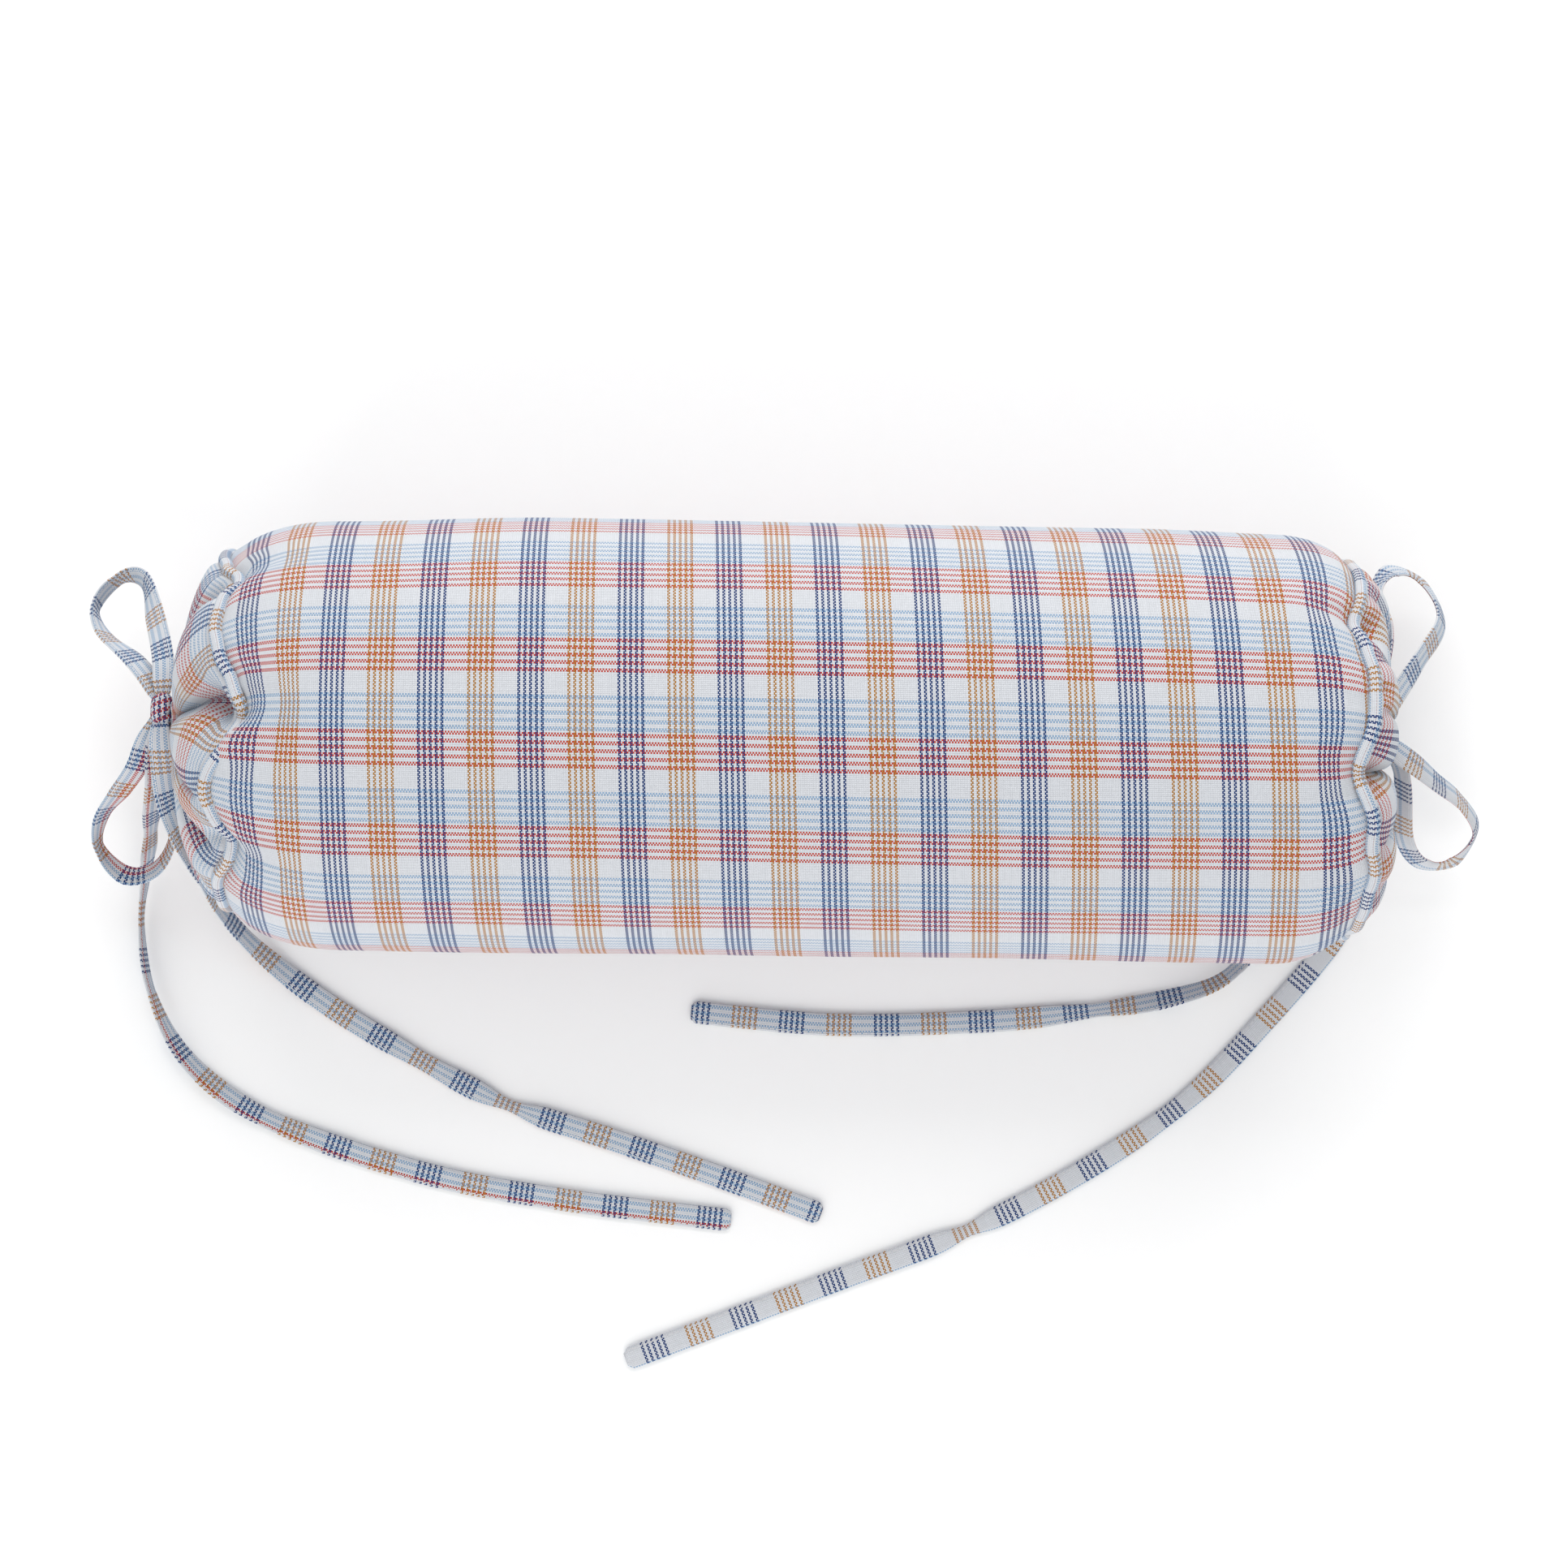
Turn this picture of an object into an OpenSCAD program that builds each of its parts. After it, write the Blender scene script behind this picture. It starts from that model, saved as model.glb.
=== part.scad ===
// Neck roll pillow: a straight bolster in a plaid cotton cover. Each end is piped, gathered
// to a small mouth and shut by a ribbon that runs in a casing and is tied in a bow.
// +X runs along the roll and +Z is up. The origin is on the table under the roll's middle.

/* [Roll] */
// Width of the roll as it lies, across Y
roll_w = 162; // [130:1:200]
// Height of the roll as it lies
roll_h = 146; // [120:1:180]
// How far the roll's widest line lies below the middle of its height
widest_drop = 3; // [0:0.5:10]
// How far the table presses the round underside flat, as a ratio of depths
press = 1.09; // [1.02:0.01:1.2]
// Distance of each piping seam from the middle of the roll
seam_x = 208; // [150:1:260]
// Length over which the roll rounds in to the piping seam
shoulder_len = 42; // [20:1:60]
// How far the cloth is drawn in at the piping seam, from the roll's mean radius
draw_in = 12; // [5:1:20]
// How far the middle of both ends lies below the middle of the roll's height
rim_drop = 1; // [0:0.5:5]
// Least height of the piping seam above the table
rim_lift = 4; // [3:0.5:10]

/* [Cover] */
// Thickness of the plaid cotton with its lining
cover_t = 1; // [0.6:0.1:1.6]
// How far the gathered left end stands out past its seam
bulge_left = 16.1; // [8:0.1:24]
// How far the gathered right end would stand out if its middle were not pulled in
bulge_right = 30; // [20:0.5:36]
// How far the middle of the right end is pulled in
dish_right = 27.4; // [10:0.1:32]
// Diameter of the mouth that the gathers leave
mouth_d = 22; // [18:0.5:30]
// Diameter of the mouth when the ribbon is drawn fully tight
mouth_shut_d = 12; // [10:0.5:16]

/* [Piping] */
// Outer diameter of the covered piping
piping_d = 5.2; // [4:0.1:8]
// Thickness of the strip wrapped round the piping cord
piping_t = 0.6; // [0.4:0.1:0.9]

/* [Inner cushion] */
// How far each end seam of the inner cushion lies inside the piping seam
tick_back = 8; // [5:1:15]
// How far the inner cushion's round ends lie inside the piping seam's radius
tick_in = 3; // [2:0.5:8]
// Thickness of the inner cushion's ticking
tick_t = 0.8; // [0.5:0.1:1.2]

/* [Ribbon] */
// Width of the ribbon
ribbon_w = 8.7; // [6:0.1:9.5]
// Thickness of the folded and stitched ribbon
ribbon_t = 1.5; // [1:0.1:2]
// Diameter of a tied knot
knot_d = 8; // [6:0.1:10]
// Length of a tied knot
knot_len = 11; // [9:0.5:14]

/* [Clearances] */
// Gap left between soft pieces that lie against each other
soft_gap = 0.3; // [0.2:0.05:0.6]
// Gap between the filling and the ticking round it
filling_gap = 0.8; // [0.6:0.1:1.2]
// Gap between the inner cushion and the ribbon inside the mouth
neck_room = 5; // [3:0.5:8]

/* [Hidden] */

$fn = 64;
sides = 48;             // points round a section of the roll
end_steps = 8;          // steps along the curve of a gathered end
end_power = 1.4;        // how full that curve is
ribbon_steps = 4;       // steps between two points of a ribbon's route

widest_z = roll_h / 2 - widest_drop;
rim_z = roll_h / 2 - rim_drop;
rim_r = min((roll_w + roll_h) / 4 - draw_in, rim_z - rim_lift);
tick_x = seam_x - tick_back;
tick_r = rim_r - tick_in;

piping_r = piping_d / 2;
cord_r = piping_r - piping_t - soft_gap / 2;
tube_x = seam_x - piping_r - soft_gap;
end_x0 = seam_x + piping_r + soft_gap;

// The casing is a tunnel of cloth round the mouth, with the ribbon inside it.
tunnel_t = ribbon_t + 2 * soft_gap;
tunnel_len = ribbon_w + 2 * soft_gap;
mouth_r = mouth_d / 2;
casing_r = mouth_r + 2 * cover_t + tunnel_t;
casing_len = tunnel_len + 2 * cover_t;
loop_r = mouth_r + cover_t + soft_gap + ribbon_t / 2;
hub_left = end_x0 + bulge_left;
hub_right = end_x0 + bulge_right - dish_right;

// Drawing the mouth shut takes half of its change in girth from each of the two strands.
tie_travel = PI * (mouth_d - mouth_shut_d) / 2;
neck_inside = tie_travel + 2;

// Each strand of the neck leaves the mouth a little above or below the middle.
strand_rise = ribbon_t / 2 + soft_gap / 2;
strand_y = 4;
tab_y = strand_y + ribbon_w / 2 + soft_gap;
knot_y = 7;
knot_rise = 3;
knot_out = 1 + knot_d / 2;

// Both ends of the inner cushion stop short of the ribbon inside the mouth: the left end is
// domed out to there, and the middle of the right end is pushed in to there.
neck_reach = neck_inside + neck_room + tick_x + soft_gap;
tick_bulge_left = hub_left - neck_reach;
tick_bulge_right = 22;
tick_dish_right = tick_bulge_right - hub_right + neck_reach;

// Routes of the ribbon: x, y, z and the roll of its width about its own line, in degrees.
bow_upper_left_route = [
    [-232, 13.2, 77.5, 0], [-233, 26, 70, 10], [-239, 43, 53, 20], [-246, 57, 36, 40],
    [-257, 57, 28, 70], [-265, 47, 29, 80], [-260, 36, 40, 65], [-246, 26, 58, 45],
    [-233, 13.4, 72.5, 30]
];
bow_lower_left_route = [
    [-237, 1, 73.5, 0], [-242, -13, 66, 30], [-251, -24, 53, 45], [-260, -34, 39, 65],
    [-262, -46, 29, 75], [-252, -56, 27, 35], [-240, -53, 29, 50], [-233, -40, 36, 65],
    [-232, -20, 51, 50], [-231, 3, 68.8, 0]
];
tail_outer_left_route = [
    [-234, 1, 76, 0], [-236, -18, 64, 40], [-240, -32, 44, 50], [-244, -45, 22, 60],
    [-247, -57, 10, 75], [-249, -76, 6, 80], [-245, -101, 6, 80], [-232, -126, 4.5, 50],
    [-208, -146, 2.5, 15], [-172, -161, 1.5, 0], [-128, -173, 1.5, 0], [-84, -180, 1.5, 0],
    [-48, -184, 1.5, 0], [-18, -187, 1.5, 0]
];
tail_inner_left_route = [
    [-233, 6, 80.5, 0], [-232, -10, 77.5, 0], [-231.5, -27, 65, 35], [-228, -42, 50, 50],
    [-222, -56, 34, 65], [-215, -71, 16, 55], [-201, -87, 5, 25], [-176, -106, 1.5, 0],
    [-143, -125, 1.5, 0], [-107, -143, 1.5, 0], [-66, -156, 1.5, 0], [-26, -169, 1.5, 0],
    [17, -184, 1.5, 0]
];
bow_upper_right_route = [
    [221, 12.9, 71, 90], [224.5, 26, 60, 90], [228.5, 44, 48, 90], [224, 59, 40, 70],
    [231, 69, 30, 50], [243, 65, 28, 70], [249, 50, 38, 60], [239, 35, 55, 45],
    [222, 12.9, 77, 20]
];
bow_lower_right_route = [
    [224, 1, 76, 0], [235, -5, 68, 20], [246, -12, 55, 40], [257, -19, 42, 55],
    [265, -30, 29, 70], [258, -42, 21, 60], [246, -43, 22, 60], [237, -33, 34, 50],
    [232.5, -10, 56, 60], [225.5, 4, 65.5, 40]
];
tail_inner_right_route = [
    [217, 6, 69.2, 45], [221, 2, 50, 30], [228, -1, 34, 40], [228, -4, 18, 110],
    [223, -14, 6, 150], [209, -32, 2, 180], [193, -58, 2, 180], [176, -86, 4.5, 120],
    [152, -97, 4, 140], [113, -104, 1.5, 180], [75, -108, 1.5, 180], [20, -110, 1.5, 180],
    [-35, -106, 1.5, 180]
];
tail_outer_right_route = [
    [221, 3, 71.2, 90], [223, -9, 54, 90], [227, -18, 38, 90], [228.5, -30, 23, 85],
    [225, -46, 9, 60], [220, -61, 3.5, 20], [213, -76, 1.5, 0], [190, -104, 1.5, 0],
    [160, -136, 1.5, 0], [121, -164, 1.5, 0], [75, -189, 1.5, 0], [20, -211, 1.5, 0],
    [-58, -242, 1.5, 0]
];

function unit(v) = v / norm(v);
function blend(a, b, share) = a + (b - a) * share;

// A section of the roll: half an ellipse above its widest line, and below it half an
// ellipse cut flat where the table presses on it.
function lying_point(angle, inset) =
    let (
        up = roll_h - widest_z - inset,
        down = widest_z - inset,
        rise = sin(angle)
    )
    [
        (roll_w / 2 - inset) * cos(angle),
        widest_z + (rise > 0 ? up * rise : max(-down, press * down * rise))
    ];

function round_point(angle, radius) = [radius * cos(angle), rim_z + radius * sin(angle)];

// Share of the way from the lying section to the round end, along a quarter of an ellipse
function drawn_in(x, end_x) =
    let (along = max(0, (abs(x) - end_x + shoulder_len) / shoulder_len))
    1 - sqrt(max(0, 1 - along * along));

function roll_ring(x, end_x, end_r, inset) = [
    for (i = [0 : sides - 1])
        let (
            angle = 360 * i / sides,
            p = blend(lying_point(angle, inset), round_point(angle, end_r), drawn_in(x, end_x))
        )
        [x, p[0], p[1]]
];

function round_ring(x, radius) = [
    for (i = [0 : sides - 1])
        let (p = round_point(360 * i / sides, radius))
        [x, p[0], p[1]]
];

// Stations close up towards the seam, where the roll turns in fastest.
shoulder_shares = [0, 0.3, 0.55, 0.75, 0.9, 1];

function stations(end_x) = concat(
    [for (i = [5 : -1 : 0]) -end_x + shoulder_len * (1 - shoulder_shares[i])],
    [for (i = [0 : 5]) end_x - shoulder_len * (1 - shoulder_shares[i])]
);

function roll_rings(end_x, end_r, inset) = [
    for (x = stations(end_x)) roll_ring(x, end_x, end_r, inset)
];

function reversed(list) = [for (i = [len(list) - 1 : -1 : 0]) list[i]];
function flat_list(lists) = [for (list = lists) for (item = list) item];

// The curve of an end panel from its seam to its middle, as [radius, distance along x]
function end_curve(x0, outer_r, inner_r, bulge, dish, inset) = [
    for (i = [0 : end_steps])
        let (angle = 90 * i / end_steps, out = sin(angle))
        [
            blend(inner_r, outer_r, pow(cos(angle), end_power)) - inset * cos(angle),
            x0 + bulge * out - dish * pow(out, 4) - inset * out
        ]
];

// Joins each ring to the next with two triangles to a side.
function skin_faces(count, around, closed) = [
    for (i = [0 : closed ? count - 1 : count - 2])
        for (j = [0 : around - 1])
            let (
                a = i * around + j,
                b = i * around + (j + 1) % around,
                c = (i + 1) % count * around + (j + 1) % around,
                d = (i + 1) % count * around + j
            )
            each [[a, d, c], [a, c, b]]
];

module ring_shell(outer, inner) {
    rings = concat(outer, reversed(inner));
    polyhedron(flat_list(rings), skin_faces(len(rings), sides, true));
}

module ring_solid(rings) {
    last = (len(rings) - 1) * sides;
    caps = [
        [for (j = [0 : sides - 1]) j],
        [for (j = [sides - 1 : -1 : 0]) last + j]
    ];
    polyhedron(flat_list(rings), concat(skin_faces(len(rings), sides, false), caps));
}

// Turns a profile drawn as [radius, distance] round the line through the middle of the ends.
module turned(side) {
    translate([0, 0, rim_z])
        rotate([0, side * 90, 0])
            rotate_extrude()
                children();
}

module end_panel(side, x0, outer_r, inner_r, bulge, dish, thickness) {
    face = end_curve(x0, outer_r, inner_r, bulge, dish, 0);
    back = end_curve(x0, outer_r, inner_r, bulge, dish, thickness);
    closed_middle = inner_r == 0 ? [[0, back[end_steps][1]]] : [];
    turned(side)
        polygon(concat(
            face,
            inner_r == 0 ? closed_middle : [back[end_steps]],
            reversed([for (i = [0 : end_steps - 1]) back[i]])
        ));
}

// The strip is wrapped round the cord, and its two edges meet at the seam below it.
module piping(side) {
    turned(side)
        translate([rim_r + soft_gap, seam_x])
            difference() {
                circle(piping_r);
                circle(piping_r - piping_t);
                translate([-piping_d, -piping_t / 2])
                    square([piping_d, piping_t]);
            }
}

module piping_cord(side) {
    turned(side)
        translate([rim_r + soft_gap, seam_x])
            circle(cord_r);
}

// A tunnel with a slit in its inner wall, where both strands of the ribbon come out.
module casing(side, hub) {
    slit = 2 * (strand_rise + ribbon_t / 2 + soft_gap);
    difference() {
        turned(side)
            difference() {
                translate([mouth_r, hub - casing_len])
                    square([casing_r - mouth_r, casing_len]);
                translate([mouth_r + cover_t, hub - casing_len + cover_t])
                    square([tunnel_t, tunnel_len]);
            }
        translate([side * (hub - casing_len / 2), mouth_r, rim_z])
            cube([tunnel_len, 4 * cover_t, slit], center = true);
    }
}

module gather_loop(side, hub) {
    gap_angle = asin(strand_rise / loop_r);
    start_y = tab_y;
    end_y = loop_r;
    translate([side * (hub - casing_len / 2), 0, rim_z]) {
        rotate([0, 90, 0])
            rotate([0, 0, 90 + gap_angle])
                rotate_extrude(angle = 360 - 2 * gap_angle)
                    translate([loop_r - ribbon_t / 2, -ribbon_w / 2])
                        square([ribbon_t, ribbon_w]);
        for (rise = [-strand_rise, strand_rise])
            translate([-ribbon_w / 2, start_y, rise - ribbon_t / 2])
                cube([ribbon_w, end_y - start_y, ribbon_t]);
    }
}

module neck(side, hub) {
    outer = hub + knot_out;
    inner = hub - neck_inside;
    for (rise = [-strand_rise, strand_rise])
        translate([side * (outer + inner) / 2, strand_y, rim_z + rise])
            cube([outer - inner, ribbon_w, ribbon_t], center = true);
}

// The knot is a short barrel with rounded ends.
module knot(side, hub) {
    edge = knot_d / 4;
    translate([side * (hub + knot_out), knot_y - knot_len / 2, rim_z + knot_rise])
        rotate([-90, 0, 0])
            rotate_extrude()
                intersection() {
                    offset(edge)
                        translate([-knot_d / 2 + edge, edge])
                            square([knot_d - 2 * edge, knot_len - 2 * edge]);
                    square([knot_d, knot_len]);
                }
}

function spot(route, i) = [route[i][0], route[i][1], route[i][2]];

function heading(route, i) =
    unit(spot(route, min(i + 1, len(route) - 1)) - spot(route, max(i - 1, 0)));

// Direction of the ribbon's width at a point of its route
function width_at(route, i) =
    let (
        ahead = heading(route, i),
        level = unit(cross(ahead, [0, 0, 1])),
        above = cross(level, ahead),
        turn = route[i][3]
    )
    level * cos(turn) + above * sin(turn);

// A smooth curve through the route's points: place and direction at a share t of the way
// from point i to the next.
function smooth_terms(route, i) =
    let (
        a = spot(route, max(i - 1, 0)),
        b = spot(route, i),
        c = spot(route, i + 1),
        d = spot(route, min(i + 2, len(route) - 1))
    )
    [b, (c - a) / 2, a - 2.5 * b + 2 * c - d / 2, (d - a) / 2 + 1.5 * (b - c)];

function smooth_spot(k, t) = k[0] + k[1] * t + k[2] * t * t + k[3] * t * t * t;
function smooth_ahead(k, t) = unit(k[1] + 2 * k[2] * t + 3 * k[3] * t * t);

function ribbon_ring(route, i, t) =
    let (
        terms = smooth_terms(route, i),
        at = smooth_spot(terms, t),
        ahead = smooth_ahead(terms, t),
        turned_width = blend(width_at(route, i), width_at(route, i + 1), t),
        wide = unit(turned_width - ahead * (turned_width * ahead)),
        thick = cross(wide, ahead),
        half_w = ribbon_w / 2,
        half_t = ribbon_t / 2,
        edge = half_t / 2
    )
    [
        for (p = [
            [half_w, edge], [half_w - edge, half_t], [edge - half_w, half_t], [-half_w, edge],
            [-half_w, -edge], [edge - half_w, -half_t], [half_w - edge, -half_t], [half_w, -edge]
        ])
            at + wide * p[0] + thick * p[1]
    ];

// The ribbon is a flat band with eased edges, carried along its route.
module ribbon(route) {
    around = 8;
    spans = len(route) - 1;
    count = spans * ribbon_steps + 1;
    rings = concat(
        [
            for (i = [0 : spans - 1])
                for (j = [0 : ribbon_steps - 1])
                    ribbon_ring(route, i, j / ribbon_steps)
        ],
        [ribbon_ring(route, spans - 1, 1)]
    );
    last = (count - 1) * around;
    caps = [
        [for (j = [0 : around - 1]) j],
        [for (j = [around - 1 : -1 : 0]) last + j]
    ];
    polyhedron(flat_list(rings), concat(skin_faces(count, around, false), caps));
}

module cover_tube() {
    color("lavender")
        ring_shell(
            roll_rings(tube_x, rim_r, 0),
            roll_rings(tube_x, rim_r - cover_t, cover_t)
        );
}

module cover_end_left() {
    color("lavender")
        end_panel(-1, end_x0, rim_r, casing_r + soft_gap, bulge_left, 0, cover_t);
}

module cover_end_right() {
    color("lavender")
        end_panel(1, end_x0, rim_r, casing_r + soft_gap, bulge_right, dish_right, cover_t);
}

module piping_left() {
    color("steelblue")
        piping(-1);
}

module piping_right() {
    color("steelblue")
        piping(1);
}

module piping_cord_left() {
    color("ivory")
        piping_cord(-1);
}

module piping_cord_right() {
    color("ivory")
        piping_cord(1);
}

module casing_left() {
    color("lightsteelblue")
        casing(-1, hub_left);
}

module casing_right() {
    color("lightsteelblue")
        casing(1, hub_right);
}

module gather_loop_left() {
    color("peru")
        gather_loop(-1, hub_left);
}

module gather_loop_right() {
    color("peru")
        gather_loop(1, hub_right);
}

module neck_left() {
    color("peru")
        neck(-1, hub_left);
}

module neck_right() {
    color("peru")
        neck(1, hub_right);
}

module knot_left() {
    color("indianred")
        knot(-1, hub_left);
}

module knot_right() {
    color("indianred")
        knot(1, hub_right);
}

module bow_upper_left() {
    color("navy")
        ribbon(bow_upper_left_route);
}

module bow_lower_left() {
    color("navy")
        ribbon(bow_lower_left_route);
}

module tail_outer_left() {
    color("peru")
        ribbon(tail_outer_left_route);
}

module tail_inner_left() {
    color("navy")
        ribbon(tail_inner_left_route);
}

module bow_upper_right() {
    color("navy")
        ribbon(bow_upper_right_route);
}

module bow_lower_right() {
    color("navy")
        ribbon(bow_lower_right_route);
}

module tail_outer_right() {
    color("navy")
        ribbon(tail_outer_right_route);
}

module tail_inner_right() {
    color("peru")
        ribbon(tail_inner_right_route);
}

module tick_tube() {
    inset = cover_t + soft_gap;
    color("whitesmoke")
        ring_shell(
            roll_rings(tick_x, tick_r, inset),
            roll_rings(tick_x, tick_r - tick_t, inset + tick_t)
        );
}

module tick_end_left() {
    color("whitesmoke")
        end_panel(-1, tick_x + soft_gap, tick_r, 0, tick_bulge_left, 0, tick_t);
}

module tick_end_right() {
    color("whitesmoke")
        end_panel(1, tick_x + soft_gap, tick_r, 0, tick_bulge_right, tick_dish_right, tick_t);
}

// The filling takes the shape of the ticking round it, a gap inside its walls.
module filling() {
    inset = cover_t + soft_gap + tick_t + filling_gap;
    back = tick_t + filling_gap;
    end_r = tick_r - back;
    left = end_curve(tick_x, tick_r, 0, tick_bulge_left, 0, back);
    right = end_curve(tick_x, tick_r, 0, tick_bulge_right, tick_dish_right, back);
    color("white")
        ring_solid(concat(
            [for (i = [end_steps : -1 : 1]) round_ring(-left[i][1], max(1, left[i][0]))],
            roll_rings(tick_x, end_r, inset),
            [for (i = [1 : end_steps]) round_ring(right[i][1], max(1, right[i][0]))]
        ));
}

cover_tube();
cover_end_left();
cover_end_right();
piping_left();
piping_right();
piping_cord_left();
piping_cord_right();
casing_left();
casing_right();
gather_loop_left();
gather_loop_right();
neck_left();
knot_left();
bow_upper_left();
bow_lower_left();
tail_outer_left();
tail_inner_left();
neck_right();
knot_right();
bow_upper_right();
bow_lower_right();
tail_outer_right();
tail_inner_right();
tick_tube();
tick_end_left();
tick_end_right();
filling();
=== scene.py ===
# %% [markdown]
# # A plaid neck roll pillow
# This is a straight round bolster. A plaid cotton cover is drawn over a stuffed inner cushion.
# Each end is piped, gathered to a small mouth, and shut by a ribbon tied in a bow. We load the
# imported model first, because every piece we make has to lie where its solid lies.

# %% Load the frame
import bpy
import numpy as np
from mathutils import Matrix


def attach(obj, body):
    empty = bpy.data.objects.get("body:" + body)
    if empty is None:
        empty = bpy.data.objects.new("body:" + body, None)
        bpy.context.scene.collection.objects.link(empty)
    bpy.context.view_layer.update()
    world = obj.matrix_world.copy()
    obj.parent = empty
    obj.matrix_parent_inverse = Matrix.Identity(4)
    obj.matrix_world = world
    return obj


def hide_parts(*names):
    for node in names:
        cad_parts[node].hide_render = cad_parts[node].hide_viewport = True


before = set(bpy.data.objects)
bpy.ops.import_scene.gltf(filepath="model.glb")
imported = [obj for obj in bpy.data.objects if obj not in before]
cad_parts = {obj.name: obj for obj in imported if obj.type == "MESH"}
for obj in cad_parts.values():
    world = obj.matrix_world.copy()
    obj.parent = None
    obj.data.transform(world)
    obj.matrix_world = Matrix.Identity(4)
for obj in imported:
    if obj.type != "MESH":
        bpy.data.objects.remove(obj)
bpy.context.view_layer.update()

# %% [markdown]
# ## Camera
# The pillow is seen from straight above. A long lens keeps the sides of the roll from
# spreading, and a turn of one degree leans the roll a little in the picture.

# %% Place the camera
lens = bpy.data.cameras.new("camera")
lens.lens = 96.9
lens.sensor_width = 36
camera = bpy.data.objects.new("camera", lens)
camera.location = (-0.0005, -0.0166, 1.646)
camera.rotation_euler = (0, 0, np.radians(1))
bpy.context.collection.objects.link(camera)
bpy.context.scene.camera = camera
print("camera", tuple(camera.location))

# %% [markdown]
# ## From a grid of points to a mesh
# Every cloth piece here is a surface over two parameters, worked out as one array. Modelling by
# hand would also do, but a formula keeps the cloth's own measure: each corner of the mesh knows
# how many metres along and across the woven cloth it is, and the plaid is drawn from that.

# %% Make a mesh from a grid
MM = 0.001


def grid(*parts):
    """The parts, each stretched to the whole grid, as one array with a part to each number."""
    return np.stack(np.broadcast_arrays(*parts), -1)


def unit(v):
    """Each vector divided by its own length."""
    return v / np.maximum(np.linalg.norm(v, axis=-1, keepdims=True), 1e-12)


def woven_mesh(name, points, cloth, close_rows=False, close_columns=True, caps=False):
    """points is (rows, columns, 3) in metres. cloth is the same grid in metres of cloth, one
    row or column longer where the grid closes on itself. Faces join each row to the next, and
    are turned over if the volume that they enclose comes out negative."""
    rows, columns = points.shape[:2]
    i, j = (g.ravel() for g in np.meshgrid(
        np.arange(rows if close_rows else rows - 1),
        np.arange(columns if close_columns else columns - 1), indexing="ij"))
    around = [(i, j), (i + 1, j), (i + 1, j + 1), (i, j + 1)]
    faces = np.stack([(a % rows) * columns + b % columns for a, b in around], 1)
    corners = np.stack([cloth[a, b] for a, b in around], 1)
    flat = points.reshape(-1, 3)
    p = (flat - flat.mean(0))[faces]
    volume = sum((np.cross(p[:, 0], p[:, k]) * p[:, k + 1]).sum() for k in (1, 2))
    cap_faces, cap_corners = [], []
    if caps:
        # The first cap runs with its row and the last against it, as the faces beside them need.
        cap_faces = [np.arange(columns), np.arange((rows - 1) * columns, rows * columns)[::-1]]
        cap_corners = [cloth[0, :columns], cloth[-1, :columns][::-1]]
    if volume < 0:
        faces, corners = faces[:, ::-1], corners[:, ::-1]
        cap_faces, cap_corners = ([row[::-1] for row in each] for each in (cap_faces, cap_corners))
    faces = faces.tolist() + [row.tolist() for row in cap_faces]
    corners = np.concatenate([corners.reshape(-1, 2), *cap_corners])
    mesh = bpy.data.meshes.new(name)
    mesh.from_pydata(flat.tolist(), [], faces)
    mesh.uv_layers.new(name="cloth").data.foreach_set("uv", corners.ravel())
    mesh.polygons.foreach_set("use_smooth", [True] * len(faces))
    piece = bpy.data.objects.new(name, mesh)
    bpy.context.collection.objects.link(piece)
    return piece


def wall(points, cloth, thickness, coarse=1):
    """A cloth wall: the grid of the outer face, then every coarse-th row of it moved inwards by
    the thickness along the normal, in reverse order, so that rows close on themselves."""
    down = np.gradient(points, axis=0)
    round_ = np.roll(points, -1, 1) - np.roll(points, 1, 1)
    normal = unit(np.cross(down, round_))
    rows = np.unique(np.r_[np.arange(0, len(points), coarse), len(points) - 1])[::-1]
    inner = (points + normal * thickness)[rows]
    both = np.concatenate([points, inner])
    measure = np.concatenate([cloth, cloth[rows], cloth[:1]])
    return both, measure


print("a millimetre is", MM)

# %% [markdown]
# ## Ribbon
# Each end is tied with a narrow band of the same plaid, folded and stitched along one edge. A
# curve object with a bevel can't twist a flat band where we want it, so the band is carried
# along a smooth curve: at each point of its route we give the roll of its width.

# %% Carry a flat band along a route
RIBBON_W, RIBBON_T = 8.7 * MM, 1.5 * MM
CORNER = 3 * MM  # radius of the corners of a sewn end
PINCH, PINCH_SHARE = 7 * MM, 0.45  # how far from a knot the ribbon narrows, and by how much
BAR_SPREAD = 17.87 / 18.5  # the ribbon is pulled a little longer, so its bars lie farther apart
around_band = np.linspace(0, 2 * np.pi, 24, endpoint=False)


def smooth_route(route, steps):
    """A cubic curve through the points: over each span, the place is a cubic in t whose slope at
    a point is half of the way between its neighbours. The width's direction is blended from one
    point to the next and squared up with the way ahead."""
    route = np.array(route, float)
    spots, turns = route[:, :3] * MM, np.radians(route[:, 3:])
    padded = np.concatenate([spots[:1], spots, spots[-1:]])
    ahead = unit(padded[2:] - padded[:-2])
    level = unit(np.cross(ahead, [0, 0, 1]))
    width = level * np.cos(turns) + np.cross(level, ahead) * np.sin(turns)
    a, b, c, d = padded[:-3], padded[1:-2], padded[2:-1], padded[3:]
    t = (np.arange(steps) / steps)[None, :, None]
    a, b, c, d = (k[:, None] for k in (a, b, c, d))
    place = (b + t * (c - a) / 2 + t ** 2 * (a - 2.5 * b + 2 * c - d / 2)
             + t ** 3 * ((d - a) / 2 + 1.5 * (b - c)))
    wide = width[:-1, None] * (1 - t) + width[1:, None] * t
    place = np.concatenate([place.reshape(-1, 3), spots[-1:]])
    wide = np.concatenate([wide.reshape(-1, 3), width[-1:]])
    ahead = unit(np.gradient(place, axis=0))
    wide = unit(wide - ahead * (wide * ahead).sum(1, keepdims=True))
    return place, wide, np.cross(wide, ahead)


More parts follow.
